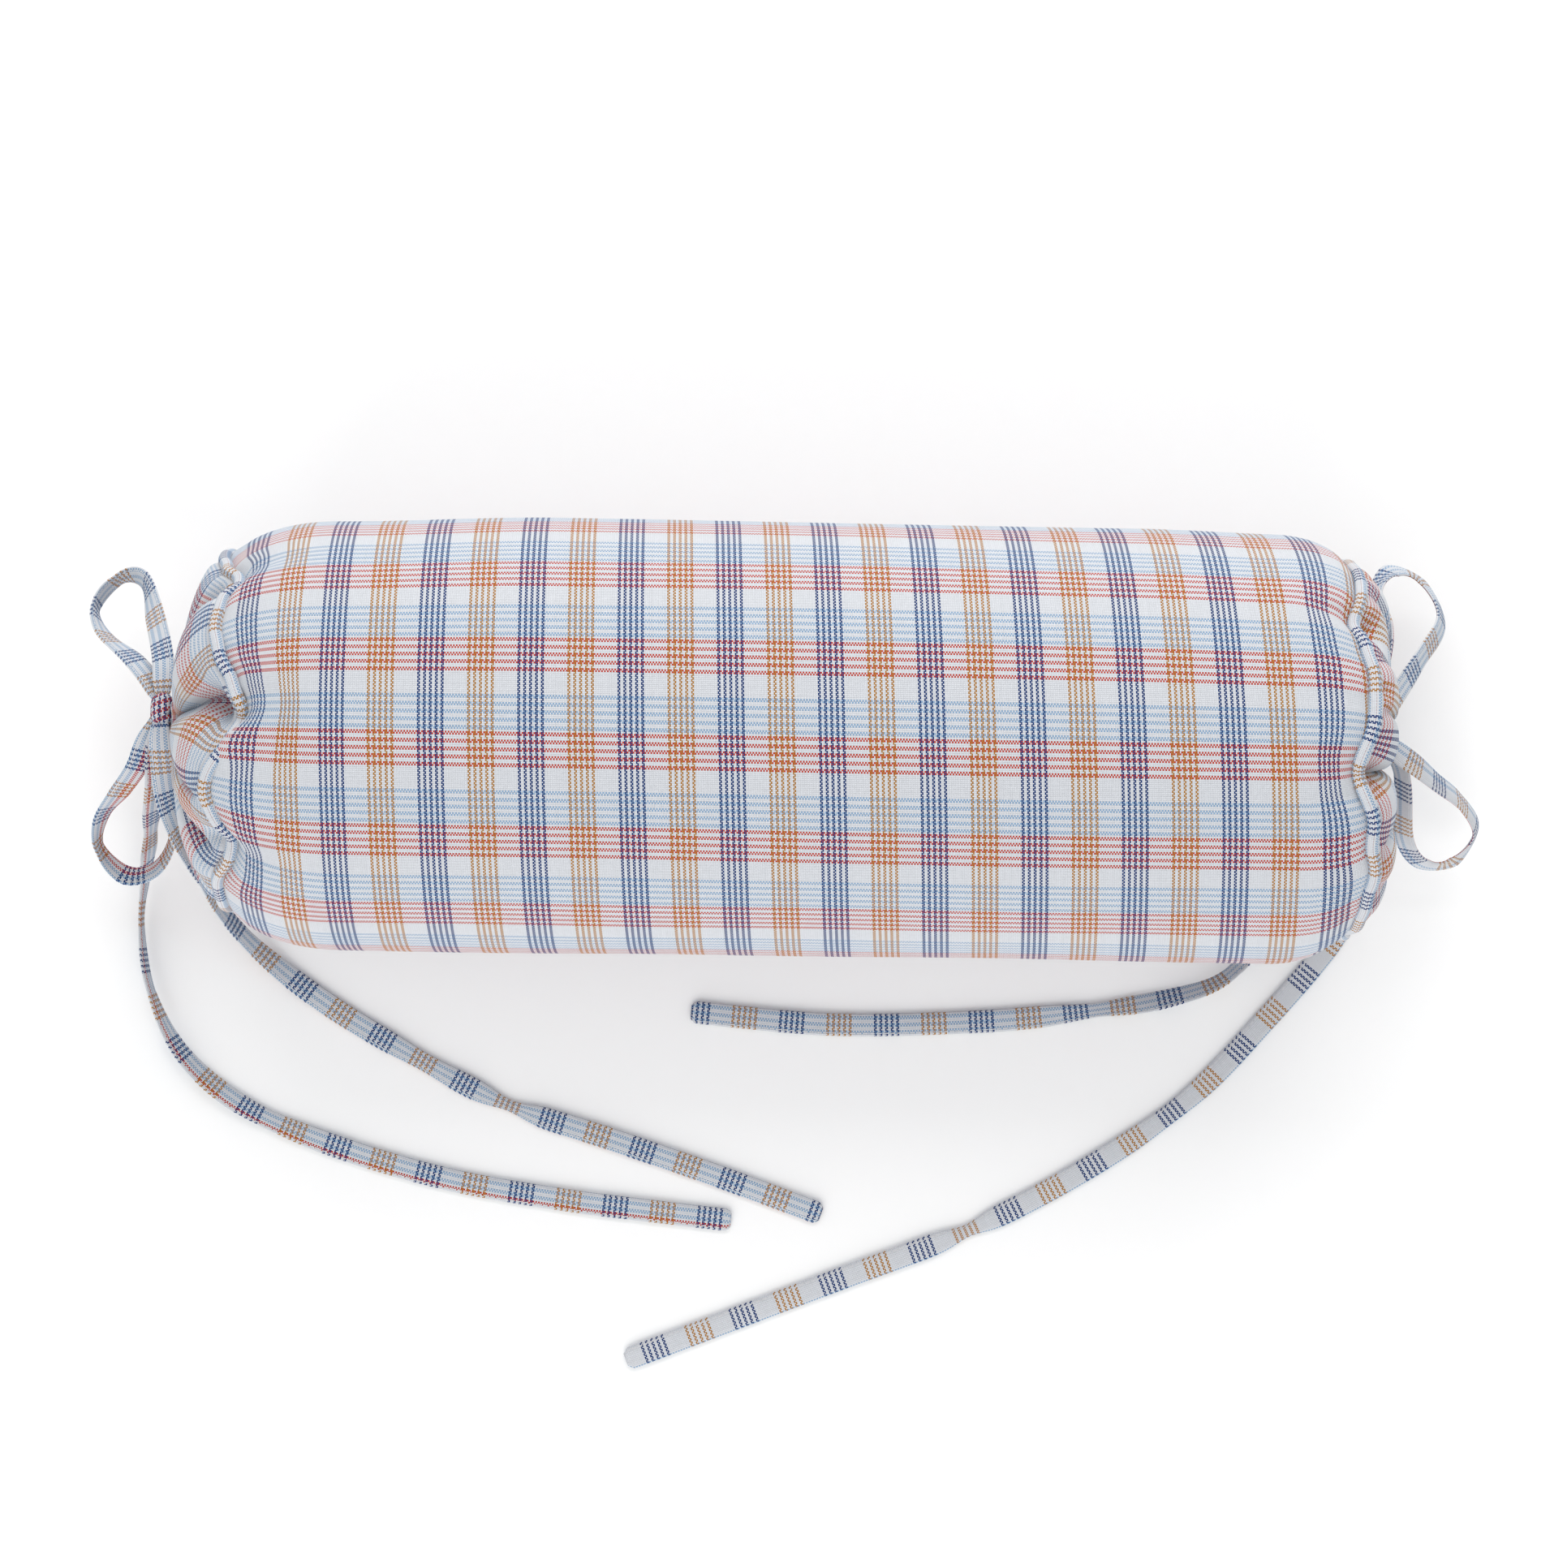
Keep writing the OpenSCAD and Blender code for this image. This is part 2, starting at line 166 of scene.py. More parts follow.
def lengths(points):
    """How far along the line each point is."""
    return np.r_[0, np.linalg.norm(np.diff(points, axis=0), axis=1).cumsum()]


def band(name, place, wide, thick, first_bar, first_line, face=1, ends=(False, False),
         soften=0.12, nips=(), pinched=(False, False), taken_in=0.0):
    """A closed band round the line. Its section is a flat oval: across it a power of cos a, and
    through it a power of sin a, both below 1, which squares the corners. The outline narrows in
    a quarter circle over a free end, and along a bell beside a knot and at each nip. The cloth
    runs along the band by its length, less what a knot has taken in, and across it by the
    distance round the section, forwards or, for its other face, back."""
    along = lengths(place) - taken_in
    narrow = np.ones(len(along))
    for far, long, share in nips:
        narrow = narrow * (1 - share * np.exp(-((along / MM - far) / long) ** 2))
    for free, tight, gap in zip(ends, pinched, (along - along[0], along[-1] - along)):
        if free:
            short = np.clip(1 - gap / CORNER, 0, 1)
            narrow = np.minimum(narrow, 0.5 + 0.5 * np.sqrt(1 - 0.97 * short ** 2))
        if tight:
            narrow = narrow * (1 - PINCH_SHARE * np.exp(-(gap / PINCH) ** 2))
    c, s = np.cos(around_band), np.sin(around_band)
    across = np.sign(c) * np.abs(c) ** 0.55 * RIBBON_W / 2
    through = np.sign(s) * np.abs(s) ** 0.6 * RIBBON_T / 2 * (1 - 0.3 * np.abs(c) ** 4)
    wave = np.sin(along / (17 * MM) + first_bar * 900)
    cup = soften * MM * wave[:, None] * (across / RIBBON_W * 2) ** 2
    points = (place[:, None] + wide[:, None] * (across * narrow[:, None])[..., None]
              + thick[:, None] * (through * (0.25 + 0.75 * narrow[:, None]) + cup)[..., None])
    section = np.stack([across, through], 1)
    girth = lengths(np.concatenate([section, section[:1]]))
    cloth = grid(along[:, None] * BAR_SPREAD + first_bar, face * girth + first_line)
    piece = woven_mesh(name, points, cloth, caps=True)
    # The finish needs to know how near an edge it is, for the line of stitches there.
    edge = np.broadcast_to(across / across.max(), points.shape[:2])
    piece.data.attributes.new("edge", "FLOAT", "POINT").data.foreach_set("value", edge.ravel())
    return piece


print("ribbon", RIBBON_W, "by", RIBBON_T)

# %% [markdown]
# ## Routes of the bows and tails
# Each end has two loops and two tails. Every point gives x, y and z in millimetres and the
# roll of the width in degrees. Free curves drawn in the viewport would look much the same, but a
# list of points can be kept equal to the one that the solids were made from.

# %% The routes of the eight runs of ribbon
routes = {
    "bow_upper_left": [
        [-232, 13.2, 77.5, 0], [-233, 26, 70, 10], [-239, 43, 53, 20], [-246, 57, 36, 40],
        [-257, 57, 28, 70], [-265, 47, 29, 80], [-260, 36, 40, 65], [-246, 26, 58, 45],
        [-233, 13.4, 72.5, 30]],
    "bow_lower_left": [
        [-237, 1, 73.5, 0], [-242, -13, 66, 30], [-251, -24, 53, 45], [-260, -34, 39, 65],
        [-262, -46, 29, 75], [-252, -56, 27, 35], [-240, -53, 29, 50], [-233, -40, 36, 65],
        [-232, -20, 51, 50], [-231, 3, 68.8, 0]],
    "tail_outer_left": [
        [-234, 1, 76, 0], [-236, -18, 64, 40], [-240, -32, 44, 50], [-244, -45, 22, 60],
        [-247, -57, 10, 75], [-249, -76, 6, 80], [-245, -101, 6, 80], [-232, -126, 4.5, 50],
        [-208, -146, 2.5, 15], [-172, -161, 1.5, 0], [-128, -173, 1.5, 0], [-84, -180, 1.5, 0],
        [-48, -184, 1.5, 0], [-18, -187, 1.5, 0]],
    "tail_inner_left": [
        [-233, 6, 80.5, 0], [-232, -10, 77.5, 0], [-231.5, -27, 65, 35], [-228, -42, 50, 50],
        [-222, -56, 34, 65], [-215, -71, 16, 55], [-201, -87, 5, 25], [-176, -106, 1.5, 0],
        [-143, -125, 1.5, 0], [-107, -143, 1.5, 0], [-66, -156, 1.5, 0], [-26, -169, 1.5, 0],
        [17, -184, 1.5, 0]],
    "bow_upper_right": [
        [221, 12.9, 71, 90], [224.5, 26, 60, 90], [228.5, 44, 48, 90], [224, 59, 40, 70],
        [231, 69, 30, 50], [243, 65, 28, 70], [249, 50, 38, 60], [239, 35, 55, 45],
        [222, 12.9, 77, 20]],
    "bow_lower_right": [
        [224, 1, 76, 0], [235, -5, 68, 20], [246, -12, 55, 40], [257, -19, 42, 55],
        [265, -30, 29, 70], [258, -42, 21, 60], [246, -43, 22, 60], [237, -33, 34, 50],
        [232.5, -10, 56, 60], [225.5, 4, 65.5, 40]],
    "tail_inner_right": [
        [217, 6, 69.2, 45], [221, 2, 50, 30], [228, -1, 34, 40], [228, -4, 18, 110],
        [223, -14, 6, 150], [209, -32, 2, 180], [193, -58, 2, 180], [176, -86, 4.5, 120],
        [152, -97, 4, 140], [113, -104, 1.5, 180], [75, -108, 1.5, 180], [20, -110, 1.5, 180],
        [-35, -106, 1.5, 180]],
    "tail_outer_right": [
        [221, 3, 71.2, 90], [223, -9, 54, 90], [227, -18, 38, 90], [228.5, -30, 23, 85],
        [225, -46, 9, 60], [220, -61, 3.5, 20], [213, -76, 1.5, 0], [190, -104, 1.5, 0],
        [160, -136, 1.5, 0], [121, -164, 1.5, 0], [75, -189, 1.5, 0], [20, -211, 1.5, 0],
        [-58, -242, 1.5, 0]],
}
print("runs of ribbon", len(routes))

# %% [markdown]
# ## The bows and tails themselves
# Each run starts a given way into the plaid, so that a dark or an ochre bar comes where the real
# ribbon has one. A knot squeezes what passes through it, so each end there is pinched and led
# into the knot's middle. Without that, cut corners would stick out beside the knot.

# %% Make the eight runs
# How far into the plaid each run starts: along it, and across it, with -1 for its other face
starts = {
    "bow_upper_left": (0.0219, 0.0235), "bow_lower_left": (0.0259, 0.030),
    "tail_outer_left": (0.0279, 0.0372, -1), "tail_inner_left": (0.0041, 0.0235),
    "bow_upper_right": (0.012, 0.0235), "bow_lower_right": (0.0081, 0.0165),
    "tail_inner_right": (0.0044, 0.0137), "tail_outer_right": (0.0219, 0.0128),
}
# Where a tail is nipped: millimetres along it, the nip's half length, and the share of its width
nips = {
    "tail_outer_left": [(106, 12, 0.35), (62, 10, 0.25), (205, 14, 0.15)],
    "tail_inner_left": [(242, 9, 0.5), (205, 12, 0.2), (120, 14, 0.15)],
    "tail_outer_right": [(296, 8, 0.45), (205, 14, 0.15)],
    "tail_inner_right": [(215, 14, 0.35)],
}
KNOT = {"left": np.array([-232, 7, 76.2]) * MM, "right": np.array([218.5, 7, 76.2]) * MM}
DRAW_SHARE, DRAW_REACH = 0.6, 6 * MM


def drawn_in(place, knot, both):
    """The line with its end at the knot moved by a share of the way into the knot's middle, and
    less along a bell; a loop has both its ends there."""
    along = lengths(place)
    pull = np.exp(-(along / DRAW_REACH) ** 2)[:, None] * (knot - place[0])
    if both:
        left_over = along[-1] - along
        pull = pull + np.exp(-(left_over / DRAW_REACH) ** 2)[:, None] * (knot - place[-1])
    return place + DRAW_SHARE * pull


ribbons = {}
for name, route in routes.items():
    line, wide, thick = smooth_route(route, 24)
    tail = name.startswith("tail")
    place = drawn_in(line, KNOT["left" if "left" in name else "right"], not tail)
    half = len(line) // 2
    taken_in = lengths(place)[half] - lengths(line)[half]
    piece = band(name + "_ribbon", place, wide, thick, *starts[name], ends=(False, tail),
                 nips=nips.get(name, ()), pinched=(True, not tail), taken_in=taken_in)
    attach(piece, "left_tie" if "left" in name else "right_tie")
    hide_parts(name)
    lengths(place)[-1]
    ribbons[name] = piece
    print(name, "length", round(lengths(place)[-1], 3), "taken into the knot", round(taken_in, 4))

# %% [markdown]
# ## The roll's own shape
# The roll lies on a table, so its section is two half ellipses with the underside pressed flat.
# Towards each end it rounds in to the piping seam. The seam isn't a true circle: the gathers
# behind it pull it to and fro, and the cloth of the roll puffs up between the pulls.

# %% Helpers for shapes that go round an end
SIDES = 288
turn = np.linspace(0, 2 * np.pi, SIDES, endpoint=False) + 1.5 * np.pi
SIDE_NAME = {-1: "left", 1: "right"}
RIM_Z = 72 * MM
RIM_R = {-1: 63.7 * MM, 1: 67.5 * MM}
SHOULDER = {-1: 40 * MM, 1: 25 * MM}


def degrees_off(angle, middle):
    """How many degrees an angle lies past the middle one, the short way round."""
    return (np.degrees(angle) - middle + 180) % 360 - 180


def wander(marks, angle, wide=6.5):
    """A smooth closed curve near marks, each an angle in degrees and a value: the sum of
    bell-shaped weights times the values, over the sum of the weights."""
    marks = np.array(marks, float)
    weight = np.exp(-(degrees_off(angle[..., None], marks[:, 0]) / wide) ** 2) + 1e-9
    return (weight * marks[:, 1]).sum(-1) / weight.sum(-1)


def smooth_step(x):
    """0 below 0, 1 above 1, and 3x^2 - 2x^3 between."""
    x = np.clip(x, 0, 1)
    return x * x * (3 - 2 * x)


def ripple(a, b, seed, count=9):
    """Even, repeatable unevenness: a sum of sine waves of a and b with seeded pitches."""
    draw = np.random.default_rng(seed)
    total = 0
    for ka, kb, phase in draw.uniform([-1, -1, 0], [1, 1, 6.28], (count, 3)):
        total = total + np.sin(a * ka + b * kb + phase)
    return total / np.sqrt(count)


def bells(angle, marks):
    """A sum of bell-shaped bumps, each given by its angle, its half width and its height."""
    total = 0
    for middle, wide, tall in marks:
        total = total + tall * np.exp(-(degrees_off(angle, middle) / wide) ** 2)
    return total


print("points round an end", SIDES)

# %% Seams that wander
# Distance of each seam from the roll's middle, by the angle round the end, from +Y up and over
seam_marks = {
    -1: [(9, 209), (20, 206), (34, 200), (47, 205), (56, 206.5), (66, 204), (76, 198), (86, 193.5),
         (95, 199), (103, 207), (111, 209), (119, 205), (129, 198.5), (137, 201), (146, 206.5),
         (168, 206.5), (185, 203), (200, 207), (217, 209), (233, 204), (250, 208), (266, 203),
         (282, 208.5), (299, 204), (315, 207), (331, 203), (348, 208)],
    1: [(-4, 206), (11, 207.5), (28, 208.5), (39, 208), (49, 203.5), (58, 208), (70, 210.5),
        (85, 210.5), (92, 206), (98, 203), (105, 208), (112, 212), (119, 210.5), (129, 213.5),
        (143, 212), (157, 211), (171, 207), (186, 210), (203, 205), (219, 210), (236, 206),
        (252, 211), (269, 206), (284, 210), (300, 205), (317, 209), (333, 205)],
}
# Where the thread pulls hardest, the seam also sinks in
sunk = {
    -1: [(18, 13, 2.6), (87, 4.5, 4.0), (34, 5, 1.5), (129, 5, 2.0)],
    1: [(98, 4.5, 3.0), (48, 6, 2.5), (171, 6, 1.5)],
}


def seam_x(side, angle):
    """Where along the roll the seam lies."""
    return side * wander(seam_marks[side], angle) * MM


def seam_r(side, angle):
    """How far the seam lies from the middle of its end."""
    return RIM_R[side] - bells(angle, sunk[side]) * MM


print("seam, left", seam_x(-1, turn).min(), seam_x(-1, turn).max())

# %% A section of the roll
# The lower half ellipse is 1.09 times as deep as the space for it, so the table cuts it off.
HALF_W, TOP, WIDEST, PRESS = 81 * MM, 146 * MM, 70 * MM, 1.09


def lying(angle, inset=0.0):
    """y and z of a lying section: half an ellipse up and half one down, cut off at the table."""
    rise = np.sin(angle)
    up, down = TOP - WIDEST - inset, WIDEST - inset
    z = WIDEST + np.where(rise > 0, up * rise, -down * np.minimum(1, -PRESS * rise))
    return (HALF_W - inset) * np.cos(angle), z


def ringed(angle, radius):
    """y and z of a circle round the middle of the ends."""
    return radius * np.cos(angle), RIM_Z + radius * np.sin(angle)


# Creases that the pulls leave in the roll's cloth: angle and half width in degrees, and depth
creases = {
    -1: [(34, 3, 1.2), (80, 2.2, 1.6), (94, 2.0, 1.3), (129, 3, 1.2), (66, 2, 0.8), (185, 3, 1)],
    1: [(49, 3, 1.5), (92, 2.2, 1.2), (104, 2.2, 1.4), (76, 2.4, 0.7), (171, 3, 1.0),
        (133, 2.5, 0.7)],
}
# Where the roll's cloth laps over the left piping: middle and half width in degrees, and reach
LAP = [(94, 6.5, 6.5)]
print("lying section", 2 * HALF_W, "wide and", TOP, "high")

# %% The face of the roll
def taken_off_waist(x):
    """How much narrower the roll is on its +Y side, in smooth steps towards both ends."""
    left = 3.0 * MM * smooth_step((-x - 85 * MM) / (85 * MM))
    return left + 1.5 * MM * smooth_step((x - 130 * MM) / (60 * MM))


def roll_face(seams, shoulders, end_r, inset, stations, puff):
    """Rows run from the left seam to the right one. Within the shoulder, the share of the way
    from the lying section to the round seam is 1 - sqrt(1 - u^2), a quarter of an ellipse."""
    left, right = seams
    x = left + (right - left) * stations[:, None]
    near = np.where(x < 0, x - left, right - x)
    u = np.clip(1 - near / np.where(x < 0, shoulders[0], shoulders[1]), 0, 1)
    share = 1 - np.sqrt(1 - u ** 2)
    y0, z0 = lying(turn[None], inset)
    y0 = y0 - taken_off_waist(x) * np.clip(np.cos(turn[None]), 0, 1)
    y1, z1 = ringed(turn[None], np.where(x < 0, end_r[0], end_r[1]))
    y, z = y0 + (y1 - y0) * share, z0 + (z1 - z0) * share
    if puff:
        # Between two pulls of the seam the cloth stands out, and the swell dies away inwards.
        wave = np.where(x < 0, left - left.mean(), right.mean() - right)
        rise = smooth_step(near / (6 * MM)) * np.exp(-near / (13 * MM))
        swell = (wave * 0.42 + 1.0 * MM * ripple(turn[None] * 9, x * 30, 3)) * rise
        pulls = np.where(x < 0, bells(turn[None], creases[-1]), bells(turn[None], creases[1]))
        tuck = pulls * MM * np.exp(-(near - 4 * MM) ** 2 / (11 * MM) ** 2)
        sag = (0.5 * MM * ripple(turn[None] * 2.2, x * 26, 7)
               + 0.3 * MM * ripple(turn[None] * 6, x * 70, 11))
        lift = (swell - tuck + sag * (1 - share)) * np.clip((z - 3 * MM) / (12 * MM), 0, 1)
        # Beside the left notch the cloth laps over the piping. The lap is sewn down at the seam,
        # has its full reach 2 mm on, and dies away inwards.
        lap = smooth_step(near / (2 * MM)) * np.exp(-(near / (9 * MM)) ** 2)
        lap = lap * bells(turn[None], LAP) * MM * (x < 0)
        lift = lift + 0.15 * lap
        x = x - lap
        y, z = y + lift * np.cos(turn[None]), z + lift * np.sin(turn[None])
    return grid(x, y, z)


TAKEN_UP = 3.4 * MM
TWIST, TWIST_PER_METRE = 0.036, 0.13


def measured(face, edge_zone):
    """Cloth measure of the roll: along, the distance down each line from the middle row, evened
    out in the last stretch so that every line reaches its seam at the same length of cloth;
    across, the distance round the lying section from its crown, the same all along. The
    cloth's own long seam is underneath."""
    step = np.linalg.norm(np.diff(face, axis=0), axis=2)
    far = np.concatenate([np.zeros((1, face.shape[1])), step.cumsum(0)])
    x = face[:, :, 0]
    middle = np.array([np.interp(0, x[:, k], far[:, k]) for k in range(face.shape[1])])
    along = far - middle
    edge = np.where(along < 0, -along[:1], along[-1:])
    mean = np.where(along < 0, -along[:1].mean(), along[-1:].mean())
    share = np.clip(1 - (edge - np.abs(along)) / edge_zone, 0, 1)
    along = along + np.sign(along) * (mean - edge) * share ** 1.6
    # Near the left seam more cloth is taken up than shows.
    along = along - TAKEN_UP * np.clip((-x - 150 * MM) / (44 * MM), 0, 1.2) ** 1.5
    y, z = lying(np.r_[turn, turn[0]])
    across = lengths(np.stack([y, z], 1))
    across = across - across[SIDES // 2]
    along = np.concatenate([along, along[:, :1]], 1)
    x = np.concatenate([x, x[:, :1]], 1)
    # The cover is put on a little twisted, more so towards the right end.
    along = along - (TWIST + TWIST_PER_METRE * x) * across
    return grid(along, across[None])


print("creases", {side: len(marks) for side, marks in creases.items()})

# %% Make the roll of the cover
# Rows stand closer together near the seams, where the cloth puckers.
near_end = 0.105 * (1 - np.cos(np.linspace(0, np.pi / 2, 46)))
middle_rows = np.linspace(near_end[-1], 1 - near_end[-1], 72)[1:-1]
stations = np.r_[near_end, middle_rows, 1 - near_end[::-1]]
SEAM_GAP, SEAM_SINK, CLOTH_T = 1.3 * MM, 0.8 * MM, 0.9 * MM
seams = seam_x(-1, turn) + SEAM_GAP, seam_x(1, turn) - SEAM_GAP
end_radii = seam_r(-1, turn) - SEAM_SINK, seam_r(1, turn) - SEAM_SINK
face, smooth_face = (roll_face(seams, (SHOULDER[-1], SHOULDER[1]), end_radii, 0, stations, puff)
                     for puff in (True, False))
face_cloth = measured(smooth_face, 30 * MM)
points, cloth = wall(face, face_cloth, CLOTH_T, coarse=3)
roll = woven_mesh("cover_roll", points, cloth, close_rows=True)
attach(roll, "pillow")
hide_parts("cover_tube")
print("roll", len(roll.data.polygons), "lowest", face[..., 2].min())

# %% [markdown]
# ## Piping
# A strip of the plaid, cut across the dark and ochre lines, is wrapped round a cotton cord and
# caught in the seam. It is a tube along the wandering seam. The tube's own two directions come
# from the way ahead and the way out from the middle, so that its bars cross it squarely.

# %% Make both pipings and the cords inside them
PIPING_OUT, PIPING_R, CORD_R = 1.5 * MM, 2.5 * MM, 1.8 * MM
STRIP_START = 19 * MM  # how far across the plaid the strip is cut


def seam_line(side, out):
    """Points of the seam at a distance out from its radius, with the way ahead at each. It
    starts and ends underneath, where the strip is joined."""
    radius = seam_r(side, turn) + out + 0.35 * MM * ripple(turn * 7, turn * 4, 5 + side)
    y, z = ringed(turn, radius)
    line = np.stack([seam_x(side, turn), y, z], 1)
    return line, unit(np.roll(line, -1, 0) - np.roll(line, 1, 0))


def tube(name, side, out, radius, sides, at_top):
    """A closed tube: the line plus radius times (cos b outwards + sin b sideways)."""
    line, ahead = seam_line(side, out)
    outward = np.stack([0 * turn, np.cos(turn), np.sin(turn)], 1)
    outward = unit(outward - ahead * (outward * ahead).sum(1, keepdims=True))
    sideways = np.cross(ahead, outward)
    b = np.linspace(0, 2 * np.pi, sides, endpoint=False)
    size = radius * (1 + 0.06 * ripple(turn[:, None] * 14, b[None] * 1.0, 21 + side))
    points = line[:, None] + size[..., None] * (
        outward[:, None] * np.cos(b)[None, :, None] + sideways[:, None] * np.sin(b)[None, :, None])
    along = lengths(np.concatenate([line, line[:1]]))
    along = along - along[SIDES // 2] + at_top
    cloth = grid(along[:, None], np.r_[b, 2 * np.pi][None] * radius + STRIP_START)
    return woven_mesh(name, points, cloth, close_rows=True)


for side, at_top in ((-1, 31.0 * MM), (1, 11.8 * MM)):
    word = SIDE_NAME[side]
    piping = tube(word + "_piping", side, PIPING_OUT, PIPING_R, 20, at_top)
    core = tube(word + "_piping_core", side, PIPING_OUT, CORD_R, 12, 0)
    for piece, node, finish in ((piping, "piping_", "plaid_strip"),
                                (core, "piping_cord_", "cotton_cord")):
        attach(piece, "pillow")
        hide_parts(node + word)
    print(piping.name, len(piping.data.polygons))

# %% [markdown]
# ## Gathered ends
# Behind the piping a strip of cloth as long as the seam is drawn in to a mouth about a third of
# its size. The cloth can't shrink, so it stands in folds, deeper the nearer the mouth. A cloth
# simulation would give folds of its own, but not the ones that this pillow has. So each fold is
# placed: a crest at a chosen angle, a sharp valley between, and its flanks drawn over the valley.

# %% Folds round an end
# Angle of each fold's crest
crests = {
    -1: [-14, 14, 49, 103, 125, 147, 170, 193, 215, 238, 262, 285, 308, 330],
    1: [-14, 14, 44, 70, 84, 113, 134, 155, 177, 200, 223, 246, 270, 293, 317],
}
# How deep the folds are there, as an angle and a share of the usual depth
fold_depth = {
    -1: [(0, 0.9), (25, 0.8), (45, 1.3), (80, 1.1), (104, 1.3), (135, 1.2), (160, 0.9), (200, 1),
         (260, 1.2), (320, 1)],
    1: [(0, 1.0), (30, 1.2), (55, 1.1), (77, 0.7), (99, 1.5), (125, 0.9), (150, 1.0), (200, 1.1),
        (260, 1), (310, 1.2)],
}
ROWS, FINE = 72, 480
fine_turn = np.linspace(0, 2 * np.pi, FINE, endpoint=False) + 1.5 * np.pi


def fold_phase(side, angle):
    """An angle that grows by one full turn from each crest to the next. A line drawn through
    the counted crests is eased by a moving average, so that no fold starts with a jerk."""
    marks = np.radians(np.array(crests[side] + [crests[side][0] + 360], float))
    at = (angle - marks[0]) % (2 * np.pi) + marks[0]
    count = np.arange(len(marks))
    fine = np.linspace(marks[0], marks[-1], 720)
    step = np.interp(fine, marks, count)
    kernel = np.hanning(25)
    longer = np.r_[step[-26:-1] - count[-1], step, step[1:26] + count[-1]]
    eased = np.convolve(longer, kernel / kernel.sum(), "same")
    return 2 * np.pi * np.interp(at, fine, eased[25:-25])


print("folds", {side: len(marks) for side, marks in crests.items()})

# %% The face of a gathered end
MOUTH_R = 14.6 * MM
SEAM_OUT = 210 * MM  # where the seam would lie if it didn't wander
FOLD_H, PUCKER_H, UNEVEN_H = 4.6 * MM, 0.7 * MM, 0.4 * MM
STRIP_DEEP, STRIP_LONG = 66 * MM, 440 * MM


def end_face(side, bulge, dish, hollows):
    """Rows run from the seam to the mouth. The radius is mouth + (seam - mouth) cos(w)^1.4 and
    the distance out is bulge sin w - dish sin(w)^4, with w from 0 to a quarter turn. Each point
    then moves along the outline's normal by the fold's height there."""
    share = np.linspace(0, 1, ROWS)[:, None]
    w = share * np.pi / 2
    rim_r = seam_r(side, fine_turn)[None] + 0.4 * MM
    plain_r = MOUTH_R + (rim_r.mean() - MOUTH_R) * np.cos(w) ** 1.4
    radius = MOUTH_R + (rim_r - MOUTH_R) * np.cos(w) ** 1.4
    out = SEAM_OUT + bulge * np.sin(w) - dish * np.sin(w) ** 4
    slope_r, slope_x = np.gradient(plain_r[:, 0])[:, None], np.gradient(out[:, 0])[:, None]
    size = np.hypot(slope_r, slope_x)
    normal_r, normal_x = slope_x / size, -slope_r / size
    rim = side * seam_x(side, fine_turn)[None] + 1.2 * MM
    out = out + (rim - SEAM_OUT) * (1 - share) ** 2.2
    swirl = 0.16 * ripple(fine_turn[None] * 1.0 + 0 * share, share * 2.0, 31 + side, 5)
    phase = fold_phase(side, fine_turn[None] + swirl * share)
    depth = smooth_step(share / 0.55) * (1 - 0.35 * share) * FOLD_H
    depth = depth * wander(fold_depth[side], fine_turn, 14)[None]
    depth = depth * (1 + 0.2 * ripple(fine_turn[None] * 3, share * 1.5, 41 + side, 5))
    fold = 2 * np.abs(np.cos(phase / 2)) ** 0.7 - 1.75
    pucker = np.cos(fold_phase(side, fine_turn[None]) * 2 + 1) * np.exp(-((share - 0.1) / 0.1) ** 2)
    uneven = ripple(fine_turn[None] * 11, share * 9, 51 + side) * smooth_step(share * 5)
    height = depth * fold + PUCKER_H * pucker + UNEVEN_H * uneven
    for angle, middle, wide, tall, drop in hollows:
        away = degrees_off(fine_turn, angle)[None]
        height = height - drop * MM * np.exp(-(away / wide) ** 2 - ((share - middle) / tall) ** 2)
    # The flanks of a fold are drawn over its valley: points move sideways by the sine of the
    # phase, times the angle that one unit of phase takes up there.
    steps = np.gradient(fine_turn[None] + 0 * phase, axis=1)
    draw = 0.9 * smooth_step(share / 0.5) * np.sin(phase) * steps
    draw = draw / np.maximum(np.gradient(np.unwrap(phase, axis=1), axis=1), 0.03)
    angle = fine_turn[None] + np.clip(draw, -0.12, 0.12)
    r = radius + normal_r * height
    x = side * (out + normal_x * height)
    return grid(x, r * np.cos(angle), RIM_Z + r * np.sin(angle))


def end_cloth(side, face, at_top, start_across):
    """Along the seam by its own length, and out from it in even steps of the strip's depth."""
    rim = np.stack([seam_x(side, fine_turn), *ringed(fine_turn, RIM_R[side])], 1)
    along = lengths(np.concatenate([rim, rim[:1]]))
    along = along - along[FINE // 2] + at_top
    base = np.linspace(0, STRIP_DEEP, len(face)) + start_across
    return grid(along[None], base[:, None])


print("mouth", MOUTH_R, "strip", STRIP_DEEP, "by", STRIP_LONG)

# %% Make both gathered ends
# A hollow: its angle, its share of the way to the mouth, its half width and half height in the
# same measures, and its depth
end_facts = {
    -1: dict(bulge=16.1 * MM, dish=0, hollows=[
        (83, 0.27, 9, 0.15, 15), (82, 0.55, 9, 0.2, 5), (33, 0.2, 6, 0.15, 2),
        (128, 0.2, 5, 0.2, 2)]),
    1: dict(bulge=21 * MM, dish=18.4 * MM, hollows=[
        (99, 0.16, 5, 0.12, 6), (48, 0.14, 5, 0.12, 4)]),
}
